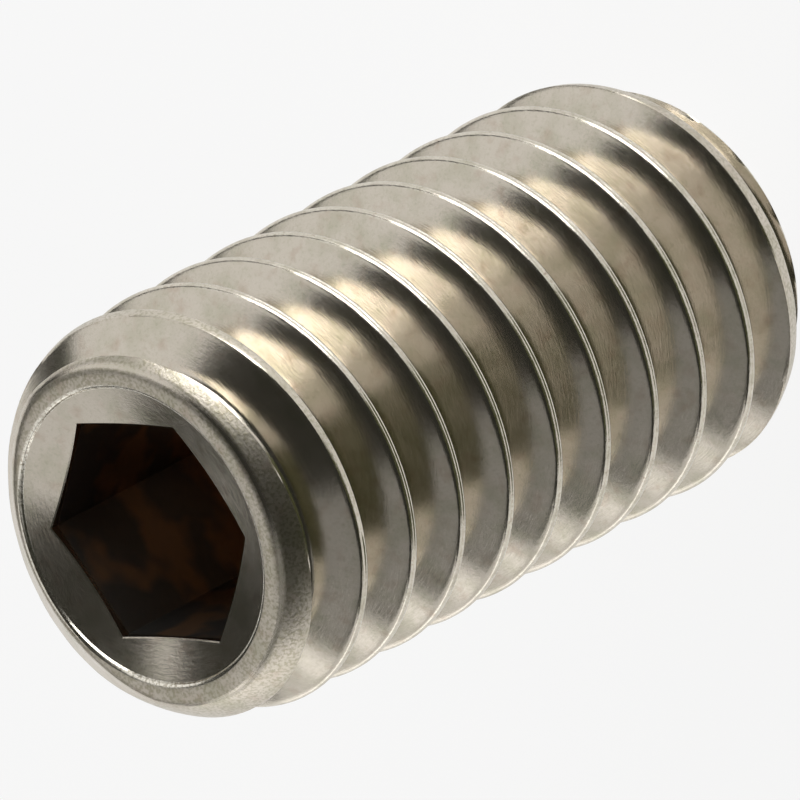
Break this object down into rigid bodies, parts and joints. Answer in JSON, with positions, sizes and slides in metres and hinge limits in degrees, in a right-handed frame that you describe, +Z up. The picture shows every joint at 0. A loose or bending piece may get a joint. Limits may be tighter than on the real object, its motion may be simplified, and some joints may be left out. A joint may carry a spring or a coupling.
{
  "type": "grub set screw",
  "caption": "Headless set screw with a metric thread from end to end, a countersunk hexagon socket in one end and a flat point at the other.",
  "frame": {"origin": "centre of the flat point, which the screw stands on", "axes": "+Z up the screw's axis, from the flat point to the socket's face; +X and +Y square to it"},
  "size_m": [0.004, 0.004, 0.008],
  "materials": {
    "stainless_steel": "rolled and barrel-finished stainless steel, shiny flanks with a fine speckle on the ends"
  },
  "bodies": {
    "root": {"set_screw": "stainless_steel"}
  },
  "joints": []
}
